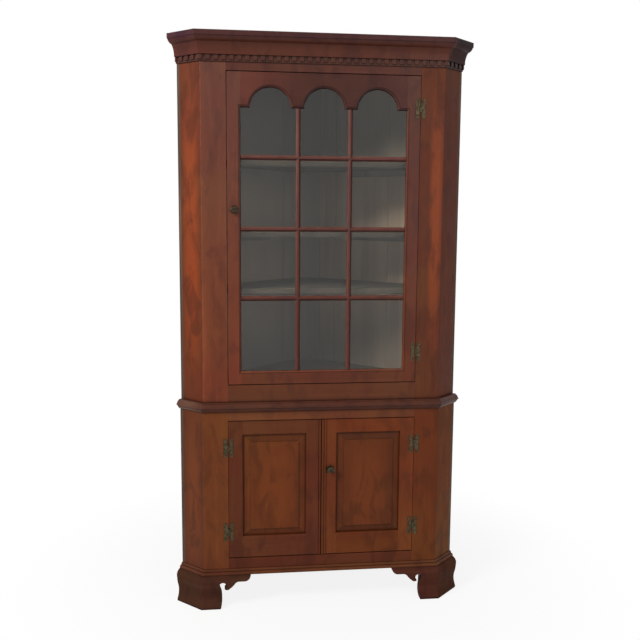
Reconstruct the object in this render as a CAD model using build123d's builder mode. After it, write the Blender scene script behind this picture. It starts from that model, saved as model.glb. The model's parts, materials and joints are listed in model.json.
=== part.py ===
"""A two-part corner cupboard: glazed arched door above, two panelled doors below, ogee feet.

The room corner is behind it, towards +Y. The front faces -Y, and the floor is z = 0.
All lengths are in millimetres. Projections are measured square out from a case face.
"""

import os
from math import cos, radians, sin, sqrt, tan

from build123d import *

os.makedirs("parts", exist_ok=True)

# Overall sizes
overall_height = 2164.0
waist_height = 794.5
foot_height = 130.5
lower_half_front = 456.5
lower_return = 122.1
case_step = 6.0
corner_board_width = 122.0

# Boards
face_board = 22.0
back_board = 14.0
shelf_board = 20.0
board_gap = 1.2
backboard_joint_shares = (0.0, 0.47, 0.87, 1.0)

# Case openings and rails
lower_stile_width = 95.0
frieze_rail_height = 131.5
sill_rail_height = 80.0
lower_top_rail_height = 56.0
lower_bottom_rail_height = 62.0
door_rise_gap = 3.0
swing_gap = 3.0
hinge_gap = 1.5
floor_drop = 1.5

# Shelves and their cleats
shelf_setback = 22.0
upper_shelf_shares = (0.314, 0.499, 0.727)
lower_shelf_share = 0.48
cleat_depth = 16.0
cleat_height = 24.0
cleat_length_share = 0.45

# Cornice and dentils
cornice_projection = 47.0
cornice_height = 78.0
dentil_band_height = 23.5
dentil_strip = 4.5
dentil_projection = 9.0
dentil_drop = 17.5
dentil_width = 15.5
dentil_pitch = 28.4

# Waist moulding
waist_projection = 20.5
waist_moulding_drop = 23.0
waist_moulding_rise = 15.0

# Base moulding and feet
base_projection = 15.0
base_moulding_height = 20.5
foot_bulge = 30.7
foot_waist = 21.5
foot_toe = 30.0
foot_inset = 3.0
foot_width = 68.0
bracket_length = 179.0
scroll_radius = 14.0
block_length = 55.0
block_depth = 38.0
rear_foot_width = 84.0
rear_foot_depth = 50.0

# Glazed door
door_board = 22.0
glazed_stile = 50.0
glazed_bottom_rail = 50.0
row_shares = (0.2826, 0.548, 0.8165)
muntin_width = 18.5
muntin_bead = 5.0
muntin_tongue = 5.0
arch_pitch_share = 0.3234
arch_radius_share = 0.3775
muntin_offset_share = 0.485
arch_crown_rail = 53.0
shoulder_rise = 2.5
edge_moulding = 8.5
edge_quirk = 3.0
edge_round = 6.5
rebate_width = 7.0
rebate_depth = 11.0
glass_thickness = 2.4
glass_clearance = 1.0

# Lower doors
meeting_offset = -3.3
meeting_gap = 2.0
lower_hinge_stile = 55.0
lower_meeting_stile = 59.0
lower_door_top_rail = 55.0
lower_door_bottom_rail = 84.0
panel_margin = 28.0
panel_tongue = 6.0
panel_groove_depth = 8.0
panel_play = 1.0
panel_seat = 10.4
panel_groove_play = 0.2
panel_field_recess = 1.0
panel_field_step = 3.6
worked_bead = 8.6
bead_quirk = 1.6
bead_quirk_depth = 2.6
bead_round = 2.4
bead_width = 19.5
bead_height = 3.5

# Hinges, pins and screws
hinge_height = 72.0
hinge_leaf_width = 15.0
hinge_leaf_start = 3.7
hinge_leaf_thickness = 1.6
hinge_leaf_corner = 4.5
hinge_leaf_flare = 3.2
hinge_notch_radius = 4.5
barrel_radius = 3.2
barrel_clearance = 0.4
barrel_length = 27.0
knuckle_gap = 0.3
pin_radius = 1.5
pin_play = 0.05
pin_head_radius = 2.7
pin_head_height = 2.0
upper_hinge_inset = 117.0
lower_hinge_inset = 103.0
screw_spread = 26.0
screw_head_radius = 3.6
screw_head_height = 1.3
screw_radius = 1.7
screw_length = 16.0
screw_play = 0.1

# Turn knobs and their catches
glazed_knob_edge = 25.1
glazed_knob_share = 0.5697
right_knob_edge = 34.7
right_knob_share = 0.6357
knob_half_length = 16.5
knob_half_width = 12.0
knob_thickness = 8.0
knob_round = 2.5
knob_neck_radius = 4.5
knob_neck_length = 12.3
knob_stand_off = 0.4
rose_radius = 14.6
rose_height = 2.0
rose_taper = 35.0
spindle_radius = 3.0
spindle_play = 0.05
catch_stand_off = 1.3
catch_thickness = 2.5
catch_width = 12.0
glazed_catch_reach = 42.0
right_catch_reach = 52.0
catch_play = 0.02

# Slide bolt inside the left lower door
bolt_width = 10.0
bolt_thickness = 6.0
bolt_length = 85.0
bolt_throw = 16.0
bolt_top_drop = 3.0
bolt_clearance = 0.4
bolt_grip_radius = 3.5
bolt_grip_length = 9.0
staple_strap = 2.5
staple_height = 12.0
staple_ear = 9.0
staple_spread = 54.0

# One overrun serves every cut
overrun = 5.0

# The returns stand square to the walls of a square room corner
return_turn = 45.0
along = cos(radians(return_turn))
mitre = tan(radians(return_turn / 2))

# Heights and planes that follow
top_z = overall_height
wall_sum = lower_half_front + lower_return / along
back_y = wall_sum - corner_board_width / 2
front_reach = cornice_projection - case_step
lower_front = (front_reach - back_y) / 2
upper_front = lower_front + case_step
back_y = lower_front + back_y
upper_half_front = lower_half_front - case_step * mitre
opening_half_width = lower_half_front - lower_stile_width
upper_return = (wall_sum - upper_half_front - case_step) * along

lower_opening_bottom = foot_height + lower_bottom_rail_height
lower_opening_top = waist_height - lower_top_rail_height
upper_opening_bottom = waist_height + sill_rail_height
upper_opening_top = top_z - frieze_rail_height
upper_opening_height = upper_opening_top - upper_opening_bottom
lower_opening_height = lower_opening_top - lower_opening_bottom


def keep(part, name):
    """Label a finished piece and write it."""
    part.label = name
    export_step(part, f"parts/{name}.step")


def keep_group(parts, name):
    """Write touching or separate pieces of one node, each as its own solid."""
    solids = [solid for part in parts for solid in part.solids()]
    keep(Compound(children=solids), name)


def board(outline, bottom, top):
    """A straight piece standing on its plan outline."""
    with BuildPart() as piece:
        with BuildSketch(Plane.XY.offset(bottom)):
            with BuildLine():
                Polyline(*outline, close=True)
            make_face()
        extrude(amount=top - bottom)
    return piece.part


def front_plane(y):
    """The plane seen from the front at depth y: local X is X, local Y is Z."""
    return Plane.XZ.offset(-y)


class Case:
    """Plan geometry of one case: its front, its returns and the wall faces behind."""

    def __init__(self, half_front, front, run):
        self.half_front = half_front
        self.front = front
        self.run = run
        self.end_x = half_front + run * along
        self.end_y = front + run * along
        self.wall_length = (self.end_x - corner_board_width / 2) / along

    def return_point(self, side, distance, inward):
        """A point along a return board, from the front corner towards the wall."""
        x = self.half_front + (distance - inward) * along
        return side * x, self.front + (distance + inward) * along

    def wall_point(self, side, distance, inward):
        """A point along a wall, from the return towards the back corner."""
        x = self.end_x - (distance + inward) * along
        return side * x, self.end_y + (distance - inward) * along

    def inner_outline(self, front_inset):
        """The space inside the boards, with its front edge set back from the case front."""
        front_x = self.half_front - face_board / along + front_inset
        half_back = corner_board_width / 2 - back_board * mitre
        right = [
            (front_x, self.front + front_inset),
            self.return_point(1, self.run - back_board, face_board),
            (half_back, back_y - back_board),
        ]
        left = [(-x, y) for x, y in reversed(right)]
        return right + left

    def path(self):
        """The line round the three showing faces, from the right wall to the left wall."""
        return [
            (self.end_x, self.end_y),
            (self.half_front, self.front),
            (-self.half_front, self.front),
            (-self.end_x, self.end_y),
        ]

    def profile_plane(self):
        """A plane across the right end of the path: local X is outward, local Y is up."""
        return Plane(
            origin=(self.end_x, self.end_y, 0),
            x_dir=(along, -along, 0),
            z_dir=(-along, -along, 0),
        )

    def mitre_plane(self, side):
        """The upright plane through a front corner; its positive side is the return."""
        turn = radians(return_turn / 2)
        return Plane(
            origin=(side * self.half_front, self.front, 0),
            z_dir=(side * cos(turn), sin(turn), 0),
        )


upper = Case(upper_half_front, upper_front, upper_return)
lower = Case(lower_half_front, lower_front, lower_return)


def moulding_run(case, outline):
    """A moulding swept round the three faces, mitred at the two front corners."""
    with BuildPart() as run:
        with BuildLine():
            Polyline(*case.path())
        with BuildSketch(case.profile_plane()):
            make_face(outline().edges())
        sweep(transition=Transition.RIGHT)
    return run.part


def front_length(run, case):
    """The front length of a swept moulding, between the mitres."""
    with BuildPart() as length:
        add(run)
        split(bisect_by=case.mitre_plane(1), keep=Keep.BOTTOM)
        split(bisect_by=case.mitre_plane(-1), keep=Keep.BOTTOM)
    return length.part


def return_length(run, case, side):
    """One return length of a swept moulding, from its mitre to the wall."""
    with BuildPart() as length:
        add(run)
        split(bisect_by=case.mitre_plane(side), keep=Keep.TOP)
    return length.part


def three_lengths(run, case):
    """All three lengths of a moulding, cut at the mitres."""
    return [front_length(run, case), return_length(run, case, 1), return_length(run, case, -1)]


# Doors: edges and heights
glazed_left = -opening_half_width + swing_gap
glazed_right = opening_half_width - hinge_gap
glazed_bottom = upper_opening_bottom + door_rise_gap
glazed_top = upper_opening_top - door_rise_gap
glazed_centre = (glazed_left + glazed_right) / 2

lower_door_bottom = lower_opening_bottom + door_rise_gap
lower_door_top = lower_opening_top - door_rise_gap
left_door_edges = (-opening_half_width + hinge_gap, meeting_offset - meeting_gap / 2)
right_door_edges = (meeting_offset + meeting_gap / 2, opening_half_width - hinge_gap)
door_back = door_board


def hinge_heights(bottom, top, inset):
    """The middle heights of a door's two hinges."""
    return bottom + inset, top - inset


# Each hinge: axis x, face plane y, middle height, and the side on which the door lies
axis_x = opening_half_width - hinge_gap / 2
glazed_hinges = [
    (axis_x, upper_front, z, -1)
    for z in hinge_heights(glazed_bottom, glazed_top, upper_hinge_inset)
]
left_hinges = [
    (-axis_x, lower_front, z, 1)
    for z in hinge_heights(lower_door_bottom, lower_door_top, lower_hinge_inset)
]
right_hinges = [
    (axis_x, lower_front, z, -1)
    for z in hinge_heights(lower_door_bottom, lower_door_top, lower_hinge_inset)
]
axis_forward = barrel_radius + barrel_clearance
knuckle_length = (barrel_length - 2 * knuckle_gap) / 3
screw_line = hinge_leaf_start + hinge_leaf_width / 2


def screw_points(hinges, door_side):
    """Screw centres on the face, on the door leaves or on the case leaves."""
    points = []
    for x, face, z, side in hinges:
        reach = side * screw_line if door_side else -side * screw_line
        points += [(x + reach, face, z - screw_spread), (x + reach, face, z + screw_spread)]
    return points


def drill(points):
    """Pilot holes for screws, cut from a face into the wood of the open part."""
    radius = screw_radius + screw_play
    for x, face, z in points:
        with Locations((x, face + screw_length / 2, z)):
            Cylinder(radius, screw_length, rotation=(90, 0, 0), mode=Mode.SUBTRACT)


# Case front: stiles and rails
def stile(name, case, side, bottom, top, points):
    """A front stile, square at the opening and mitred to the return."""
    with BuildPart() as piece:
        with BuildSketch(Plane.XY.offset(bottom)):
            with BuildLine():
                Polyline(
                    (side * opening_half_width, case.front),
                    (side * case.half_front, case.front),
                    (side * (case.half_front - face_board * mitre), case.front + face_board),
                    (side * opening_half_width, case.front + face_board),
                    close=True,
                )
            make_face()
        extrude(amount=top - bottom)
        drill(points)
    keep(piece.part, name)


stile("upper_stile_left", upper, -1, waist_height, top_z, [])
stile("upper_stile_right", upper, 1, waist_height, top_z, screw_points(glazed_hinges, False))
stile("lower_stile_left", lower, -1, foot_height, waist_height, screw_points(left_hinges, False))
stile("lower_stile_right", lower, 1, foot_height, waist_height, screw_points(right_hinges, False))


def rail_outline(case):
    """The plan of a rail between the stiles."""
    return [
        (-opening_half_width, case.front),
        (opening_half_width, case.front),
        (opening_half_width, case.front + face_board),
        (-opening_half_width, case.front + face_board),
    ]


keep(board(rail_outline(upper), upper_opening_top, top_z), "upper_frieze_rail")
keep(board(rail_outline(upper), waist_height, upper_opening_bottom), "upper_sill_rail")
keep(board(rail_outline(lower), lower_opening_top, waist_height), "lower_top_rail")
keep(board(rail_outline(lower), foot_height, lower_opening_bottom), "lower_bottom_rail")


# Returns, backboards and corner boards
def return_outline(case, side):
    """The plan of a return board, mitred in front and square at the wall boards."""
    rear = case.run - back_board
    return [
        case.return_point(side, 0, 0),
        case.return_point(side, rear, 0),
        case.return_point(side, rear, face_board),
        (side * (case.half_front - face_board * mitre), case.front + face_board),
    ]


def backboard_outlines(case, side):
    """The plans of the boards along one wall, the last mitred to the corner board."""
    outlines = []
    ends = [share * case.wall_length for share in backboard_joint_shares]
    last = len(ends) - 2
    for index in range(last + 1):
        start = ends[index]
        stop = ends[index + 1]
        if index < last:
            stop -= board_gap
            inner_stop = stop
        else:
            inner_stop = stop - back_board * mitre
        outlines.append([
            case.wall_point(side, start, 0),
            case.wall_point(side, stop, 0),
            case.wall_point(side, inner_stop, back_board),
            case.wall_point(side, start, back_board),
        ])
    return outlines


corner_outline = [
    (corner_board_width / 2, back_y),
    (corner_board_width / 2 - back_board * mitre, back_y - back_board),
    (-corner_board_width / 2 + back_board * mitre, back_y - back_board),
    (-corner_board_width / 2, back_y),
]

for case_name, case, bottom, top in (
    ("upper", upper, waist_height, top_z),
    ("lower", lower, foot_height, waist_height),
):
    for side_name, side in (("left", -1), ("right", 1)):
        keep(board(return_outline(case, side), bottom, top), f"{case_name}_return_{side_name}")
        with BuildPart() as backboards:
            for outline in backboard_outlines(case, side):
                add(board(outline, bottom, top))
        keep(backboards.part, f"{case_name}_backboards_{side_name}")
    keep(board(corner_outline, bottom, top), f"{case_name}_corner_board")


# Tops, bottoms and shelves
keep(board(upper.inner_outline(face_board), top_z - shelf_board, top_z), "upper_top_board")
upper_floor = upper_opening_bottom - floor_drop
keep(
    board(upper.inner_outline(face_board), upper_floor - shelf_board, upper_floor),
    "upper_bottom_board",
)
lower_ceiling = waist_height - shelf_board
keep(board(lower.inner_outline(face_board), lower_ceiling, waist_height), "lower_top_board")
lower_floor = lower_opening_bottom - floor_drop
keep(
    board(lower.inner_outline(face_board), lower_floor - shelf_board, lower_floor),
    "lower_bottom_board",
)

shelf_line = face_board + shelf_setback
cleat_places = []
for shelf_name, share in zip(("low", "middle", "high"), upper_shelf_shares):
    shelf_top = upper_opening_bottom + share * upper_opening_height
    shelf = board(upper.inner_outline(shelf_line), shelf_top - shelf_board, shelf_top)
    keep(shelf, f"upper_shelf_{shelf_name}")
    cleat_places.append((upper, shelf_top - shelf_board))
shelf_top = lower_opening_bottom + lower_shelf_share * lower_opening_height
shelf = board(lower.inner_outline(shelf_line), shelf_top - shelf_board, shelf_top)
keep(shelf, "lower_shelf")
cleat_places.append((lower, shelf_top - shelf_board))

with BuildPart() as shelf_cleats:
    for case, seat in cleat_places:
        for side in (-1, 1):
            start = case.wall_length * (1 - cleat_length_share) / 2
            stop = case.wall_length - start
            outline = [
                case.wall_point(side, start, back_board),
                case.wall_point(side, stop, back_board),
                case.wall_point(side, stop, back_board + cleat_depth),
                case.wall_point(side, start, back_board + cleat_depth),
            ]
            add(board(outline, seat - cleat_height, seat))
keep(shelf_cleats.part, "shelf_cleats")


# Cornice
def cornice_profile():
    """Fascia over an ovolo, a small fillet and a long cove."""
    foot = top_z - cornice_height
    fascia_foot = top_z - 0.228 * cornice_height
    ovolo_foot = top_z - 0.456 * cornice_height
    cove_head = top_z - 0.494 * cornice_height
    ovolo_top = 0.95 * cornice_projection
    ovolo_in = 0.52 * cornice_projection
    cove_out = 0.48 * cornice_projection
    cove_in = 0.27 * cornice_projection
    with BuildLine() as line:
        Polyline((ovolo_top, fascia_foot), (cornice_projection, fascia_foot), (cornice_projection, top_z),
                 (0, top_z), (0, foot), (cove_in, foot))
        bow = 0.08 * (cove_head - foot)
        SagittaArc((cove_in, foot), (cove_out, cove_head), bow)
        Line((cove_out, cove_head), (ovolo_in, ovolo_foot))
        bow = -0.2 * (fascia_foot - ovolo_foot)
        SagittaArc((ovolo_in, ovolo_foot), (ovolo_top, fascia_foot), bow)
    return line


cornice = moulding_run(upper, cornice_profile)
keep(front_length(cornice, upper), "cornice_front")
keep_group([return_length(cornice, upper, 1), return_length(cornice, upper, -1)], "cornice_returns")

# Dentil moulding: a flat band with blocks left standing between sawn notches
dentil_top = top_z - cornice_height
dentil_foot = dentil_top - dentil_drop
band_foot = dentil_top - dentil_band_height


def dentil_profile():
    """The band, thicker where the blocks are."""
    with BuildLine() as line:
        Polyline((0, dentil_top), (0, band_foot), (dentil_strip, band_foot),
                 (dentil_strip, dentil_foot), (dentil_projection, dentil_foot),
                 (dentil_projection, dentil_top), close=True)
    return line


with BuildPart() as dentil_moulding:
    add(moulding_run(upper, dentil_profile))
    notch_depth = 2 * (dentil_projection - dentil_strip)
    front_pitch = 2 * upper_half_front / round(2 * upper_half_front / dentil_pitch)
    notch_share = 1 - dentil_width / dentil_pitch
    notch_z = (dentil_top + dentil_foot - overrun) / 2
    notch_height = dentil_top - dentil_foot + overrun
    notch_y = upper_front - dentil_strip - notch_depth / 2
    x = -upper_half_front + front_pitch / 2
    while x < upper_half_front:
        with Locations((x, notch_y, notch_z)):
            Box(front_pitch * notch_share, notch_depth, notch_height, mode=Mode.SUBTRACT)
        x += front_pitch
    return_count = round(upper_return / dentil_pitch)
    return_pitch = upper_return / return_count
    for side in (-1, 1):
        for index in range(return_count):
            place = upper.return_point(side, (index + 0.5) * return_pitch, -dentil_strip - notch_depth / 2)
            with Locations(Location((place[0], place[1], notch_z), (0, 0, side * return_turn))):
                Box(return_pitch * notch_share, notch_depth, notch_height, mode=Mode.SUBTRACT)
keep_group(three_lengths(dentil_moulding.part, upper), "dentil_moulding")


# Waist moulding, planted on the lower case and lapping the foot of the upper case
def waist_profile():
    """A sloping top over a round nose, with a step and a small ovolo below."""
    foot = waist_height - waist_moulding_drop
    head = waist_height + waist_moulding_rise
    reach = waist_projection
    nose_low = waist_height - 0.28 * waist_moulding_drop
    step_z = waist_height - 0.5 * waist_moulding_drop
    nose_high = waist_height
    slope_z = waist_height + 0.88 * waist_moulding_rise
    with BuildLine() as line:
        Polyline((0.3 * reach, slope_z), (0.3 * reach, head), (-case_step, head),
                 (-case_step, waist_height), (0, waist_height), (0, foot), (0.12 * reach, foot))
        SagittaArc((0.12 * reach, foot), (0.62 * reach, step_z), -0.07 * waist_moulding_drop)
        Polyline((0.62 * reach, step_z), (0.72 * reach, step_z), (0.72 * reach, nose_low),
                 (0.86 * reach, nose_low))
        ThreePointArc((0.86 * reach, nose_low), (reach, (nose_low + nose_high) / 2),
                      (0.86 * reach, nose_high))
        SagittaArc((0.86 * reach, nose_high), (0.3 * reach, slope_z), -0.14 * waist_moulding_rise)
    return line


keep_group(three_lengths(moulding_run(lower, waist_profile), lower), "waist_moulding")


# Base moulding
def base_profile():
    """A small ovolo over a larger one, spreading downwards."""
    head = foot_height + base_moulding_height
    middle = foot_height + 0.55 * base_moulding_height
    toe = foot_height + 0.12 * base_moulding_height
    with BuildLine() as line:
        Polyline((0.42 * base_projection, middle), (0.5 * base_projection, middle))
        SagittaArc((0.5 * base_projection, middle), (base_projection, toe), 0.14 * base_moulding_height)
        Polyline((base_projection, toe), (base_projection, foot_height), (0, foot_height), (0, head),
                 (0.1 * base_projection, head))
        SagittaArc((0.1 * base_projection, head), (0.42 * base_projection, middle), 0.1 * base_moulding_height)
    return line


keep_group(three_lengths(moulding_run(lower, base_profile), lower), "base_moulding")


# Ogee feet
def foot_profile():
    """The ogee: a full bulge under the case, a hollow waist and a turned-out toe."""
    shoulder_z = 0.936 * foot_height
    bulge_z = 0.772 * foot_height
    belly_z = 0.666 * foot_height
    bend_z = 0.55 * foot_height
    waist_z = 0.338 * foot_height
    toe_z = 0.053 * foot_height
    bend = (foot_bulge + foot_waist) / 2 + 0.02 * foot_bulge
    with BuildLine() as line:
        ThreePointArc((0.88 * base_projection, foot_height), (0.84 * foot_bulge, shoulder_z), (foot_bulge, bulge_z))
        ThreePointArc((foot_bulge, bulge_z), (0.963 * foot_bulge, belly_z), (bend, bend_z))
        ThreePointArc((bend, bend_z), (foot_waist, waist_z), (0.9 * foot_toe, 2.2 * toe_z))
        Polyline((0.9 * foot_toe, 2.2 * toe_z), (foot_toe, toe_z), (0.97 * foot_toe, 0),
                 (-foot_inset, 0), (-foot_inset, foot_height), (0.88 * base_projection, foot_height))
    return line


def bracket_outline(side):
    """The front face of a bracket: foot, scroll hole and cusped wing."""

    def at(distance, height):
        """A point measured from the case corner towards the middle, and up from the floor."""
        return side * (lower_half_front - distance), height

    outside = -foot_bulge - overrun
    tall = foot_height + overrun
    wing = bracket_length - foot_width
    hole_x = foot_width + 0.18 * scroll_radius
    hole_z = 0.713 * foot_height
    hook = (hole_x + 0.5 * scroll_radius, 0.613 * foot_height)
    with BuildLine() as line:
        Polyline(at(bracket_length, foot_height), at(bracket_length, tall), at(outside, tall),
                 at(outside, -overrun), at(0.91 * foot_width, -overrun), at(0.91 * foot_width, 0))
        ThreePointArc(at(0.91 * foot_width, 0), at(foot_width, 0.3 * foot_height),
                      at(0.965 * foot_width, 0.51 * foot_height))
        Line(at(0.965 * foot_width, 0.51 * foot_height),
             at(hole_x - 0.86 * scroll_radius, hole_z - 0.51 * scroll_radius))
        ThreePointArc(at(hole_x - 0.86 * scroll_radius, hole_z - 0.51 * scroll_radius),
                      at(hole_x, hole_z + scroll_radius),
                      at(hole_x + 0.9 * scroll_radius, hole_z - 0.436 * scroll_radius))
        Line(at(hole_x + 0.9 * scroll_radius, hole_z - 0.436 * scroll_radius), at(*hook))
        ThreePointArc(at(*hook), at(foot_width + 0.13 * wing, 0.588 * foot_height),
                      at(foot_width + 0.27 * wing, 0.624 * foot_height))
        ThreePointArc(at(foot_width + 0.27 * wing, 0.624 * foot_height),
                      at(foot_width + 0.375 * wing, 0.703 * foot_height),
                      at(foot_width + 0.46 * wing, 0.793 * foot_height))
        ThreePointArc(at(foot_width + 0.46 * wing, 0.793 * foot_height),
                      at(foot_width + 0.52 * wing, 0.828 * foot_height),
                      at(foot_width + 0.6 * wing, 0.84 * foot_height))
        Line(at(foot_width + 0.6 * wing, 0.84 * foot_height), at(foot_width + 0.8 * wing, 0.84 * foot_height))
        ThreePointArc(at(foot_width + 0.8 * wing, 0.84 * foot_height),
                      at(foot_width + 0.94 * wing, 0.9 * foot_height),
                      at(bracket_length, foot_height))
    return line


foot_run = moulding_run(lower, foot_profile)
for side_name, side in (("left", -1), ("right", 1)):
    with BuildPart() as front_bracket:
        with BuildSketch(front_plane(lower_front - foot_bulge - overrun)):
            make_face(bracket_outline(side).edges())
        extrude(amount=-(foot_bulge + foot_inset + 2 * overrun))
        add(front_length(foot_run, lower), mode=Mode.INTERSECT)
    keep_group([front_bracket.part, return_length(foot_run, lower, side)], f"foot_{side_name}")


def inside_foot(side, distance, inward, on_return):
    """A point behind a foot's brackets, measured from their inner corner."""
    corner_x = lower_half_front - foot_inset * mitre
    corner_y = lower_front + foot_inset
    if on_return:
        x = corner_x + (distance - inward) * along
        return side * x, corner_y + (distance + inward) * along
    return side * (corner_x - distance), corner_y + inward


with BuildPart() as foot_blocks:
    for side in (-1, 1):
        outline = [
            inside_foot(side, 0, 0, False),
            inside_foot(side, block_length, 0, False),
            inside_foot(side, block_length, block_depth, False),
            inside_foot(side, block_length, block_depth, True),
            inside_foot(side, block_length, 0, True),
        ]
        add(board(outline, 0, foot_height))
keep(foot_blocks.part, "foot_blocks")

rear_outline = [
    (rear_foot_width / 2, back_y - rear_foot_depth),
    (rear_foot_width / 2, back_y),
    (-rear_foot_width / 2, back_y),
    (-rear_foot_width / 2, back_y - rear_foot_depth),
]
keep(board(rear_outline, 0, foot_height), "rear_foot")


# Glazed door: one frame shape, then sawn into its stiles and rails
sight_left = glazed_left + glazed_stile
sight_right = glazed_right - glazed_stile
sight_bottom = glazed_bottom + glazed_bottom_rail
arch_pitch = arch_pitch_share * (sight_right - sight_left)
arch_radius = arch_radius_share * arch_pitch
muntin_offset = muntin_offset_share * arch_pitch
crown_z = glazed_top - arch_crown_rail
arch_centre_z = crown_z - arch_radius
shoulder_z = arch_centre_z + shoulder_rise


def sight_outline(grow):
    """The outline of the glazed opening with its three arches, grown all round."""
    low = sight_bottom - grow
    high = shoulder_z + grow
    radius = arch_radius + grow
    half = sqrt(radius ** 2 - (high - arch_centre_z) ** 2)
    with BuildLine() as line:
        point = (sight_left - grow, high)
        Polyline(point, (sight_left - grow, low), (sight_right + grow, low), (sight_right + grow, high))
        right_end = (sight_right + grow, high)
        for index in (1, 0, -1):
            centre = glazed_centre + index * arch_pitch
            Line(right_end, (centre + half, high))
            ThreePointArc((centre + half, high), (centre, arch_centre_z + radius), (centre - half, high))
            right_end = (centre - half, high)
        Line(right_end, point)
    return line


with BuildPart() as glazed_frame:
    with BuildSketch(front_plane(upper_front)):
        with Locations((glazed_centre, (glazed_bottom + glazed_top) / 2)):
            Rectangle(glazed_right - glazed_left, glazed_top - glazed_bottom)
    extrude(amount=-door_board)
    with BuildSketch(front_plane(upper_front)):
        make_face(sight_outline(0).edges())
    extrude(amount=-door_board, mode=Mode.SUBTRACT)
    with BuildSketch(front_plane(upper_front)):
        make_face(sight_outline(edge_moulding).edges())
    extrude(amount=-edge_quirk, mode=Mode.SUBTRACT)
    ledge = glazed_frame.faces().filter_by(Axis.Y).sort_by_distance(
        (sight_left - edge_moulding / 2, upper_front + edge_quirk, (sight_bottom + shoulder_z) / 2))[0]
    fillet(ledge.inner_wires().edges(), radius=edge_round)
    with BuildSketch(front_plane(upper_front + rebate_depth)):
        rebate_top = crown_z + rebate_width
        rebate_bottom = sight_bottom - rebate_width
        with Locations((glazed_centre, (rebate_top + rebate_bottom) / 2)):
            Rectangle(sight_right - sight_left + 2 * rebate_width, rebate_top - rebate_bottom)
    extrude(amount=-(door_board - rebate_depth), mode=Mode.SUBTRACT)
    drill(screw_points(glazed_hinges, True))

glazed_knob_x = glazed_left + glazed_knob_edge
glazed_knob_z = glazed_bottom + glazed_knob_share * (glazed_top - glazed_bottom)


def sawn(frame, low_x, high_x, low_z, high_z, face):
    """The piece of a door frame inside a range of x and z."""
    with BuildPart() as piece:
        add(frame)
        with Locations(((low_x + high_x) / 2, face + door_board / 2, (low_z + high_z) / 2)):
            Box(high_x - low_x, 2 * door_board, high_z - low_z, mode=Mode.INTERSECT)
    return piece.part


with BuildPart() as glazed_door_stiles:
    add(sawn(glazed_frame.part, glazed_left, sight_left, glazed_bottom, glazed_top, upper_front))
    add(sawn(glazed_frame.part, sight_right, glazed_right, glazed_bottom, glazed_top, upper_front))
    with Locations((glazed_knob_x, upper_front + door_board / 2, glazed_knob_z)):
        Cylinder(spindle_radius + spindle_play, door_board, rotation=(90, 0, 0), mode=Mode.SUBTRACT)
keep(glazed_door_stiles.part, "glazed_door_stiles")
middle_z = (sight_bottom + shoulder_z) / 2
arched_rail = sawn(glazed_frame.part, sight_left, sight_right, middle_z, glazed_top, upper_front)
keep(arched_rail, "glazed_door_arched_rail")
bottom_rail = sawn(glazed_frame.part, sight_left, sight_right, glazed_bottom, middle_z, upper_front)
keep(bottom_rail, "glazed_door_bottom_rail")


# Muntins
def muntin_profile():
    """A bead between two ovolos in front, and a tongue between the panes behind."""
    half = muntin_width / 2
    bead = muntin_bead / 2
    tongue = muntin_tongue / 2
    shoulder = rebate_depth - 0.25 * (rebate_depth - edge_quirk)
    bow = 0.18 * (half - bead)
    with BuildLine() as line:
        SagittaArc((-half, shoulder), (-bead, edge_quirk), bow)
        SagittaArc((-bead, edge_quirk), (bead, edge_quirk), 0.2 * bead)
        SagittaArc((bead, edge_quirk), (half, shoulder), bow)
        Polyline((half, shoulder), (half, rebate_depth), (tongue, rebate_depth), (tongue, door_board),
                 (-tongue, door_board), (-tongue, rebate_depth), (-half, rebate_depth), (-half, shoulder))
    return line


upright_places = (glazed_centre - muntin_offset, glazed_centre + muntin_offset)
cross_heights = [sight_bottom + share * (shoulder_z - sight_bottom) for share in row_shares]

with BuildPart() as uprights:
    for x in upright_places:
        plane = Plane(origin=(x, upper_front, sight_bottom), x_dir=(1, 0, 0), z_dir=(0, 0, 1))
        with BuildSketch(plane):
            make_face(muntin_profile().edges())
        extrude(amount=shoulder_z - sight_bottom)
        for foot, head in ((rebate_bottom, sight_bottom), (shoulder_z, rebate_top)):
            with Locations((x, upper_front + (rebate_depth + door_board) / 2, (foot + head) / 2)):
                Box(muntin_tongue, door_board - rebate_depth, head - foot)

with BuildPart() as cross_bars:
    for z in cross_heights:
        plane = Plane(origin=(sight_left, upper_front, z), x_dir=(0, 0, -1), z_dir=(1, 0, 0))
        with BuildSketch(plane):
            make_face(muntin_profile().edges())
        extrude(amount=sight_right - sight_left)
        for start, stop in ((sight_left - rebate_width, sight_left), (sight_right, sight_right + rebate_width)):
            with Locations(((start + stop) / 2, upper_front + (rebate_depth + door_board) / 2, z)):
                Box(stop - start, door_board - rebate_depth, muntin_tongue)
    add(uprights.part, mode=Mode.SUBTRACT)

bar_count = len(cross_heights) * (len(upright_places) + 1)
coped_bars = cross_bars.part.solids().sort_by(SortBy.VOLUME)[-bar_count:]
keep_group([uprights.part, *coped_bars], "glazed_door_muntins")

# Glass: twelve panes behind the moulded bars
column_edges = [sight_left - rebate_width, *upright_places, sight_right + rebate_width]
row_edges = [rebate_bottom, *cross_heights, rebate_top]
with BuildPart() as glass_panes:
    for column in range(len(column_edges) - 1):
        for row in range(len(row_edges) - 1):
            inset = glass_clearance + muntin_tongue / 2
            low_x = column_edges[column] + (glass_clearance if column == 0 else inset)
            high_x = column_edges[column + 1] - (glass_clearance if column == 2 else inset)
            low_z = row_edges[row] + (glass_clearance if row == 0 else inset)
            high_z = row_edges[row + 1] - (glass_clearance if row == 3 else inset)
            middle_y = upper_front + rebate_depth + glass_thickness / 2
            with Locations(((low_x + high_x) / 2, middle_y, (low_z + high_z) / 2)):
                Box(high_x - low_x, glass_thickness, high_z - low_z)
keep(glass_panes.part, "glass_panes")


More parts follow.
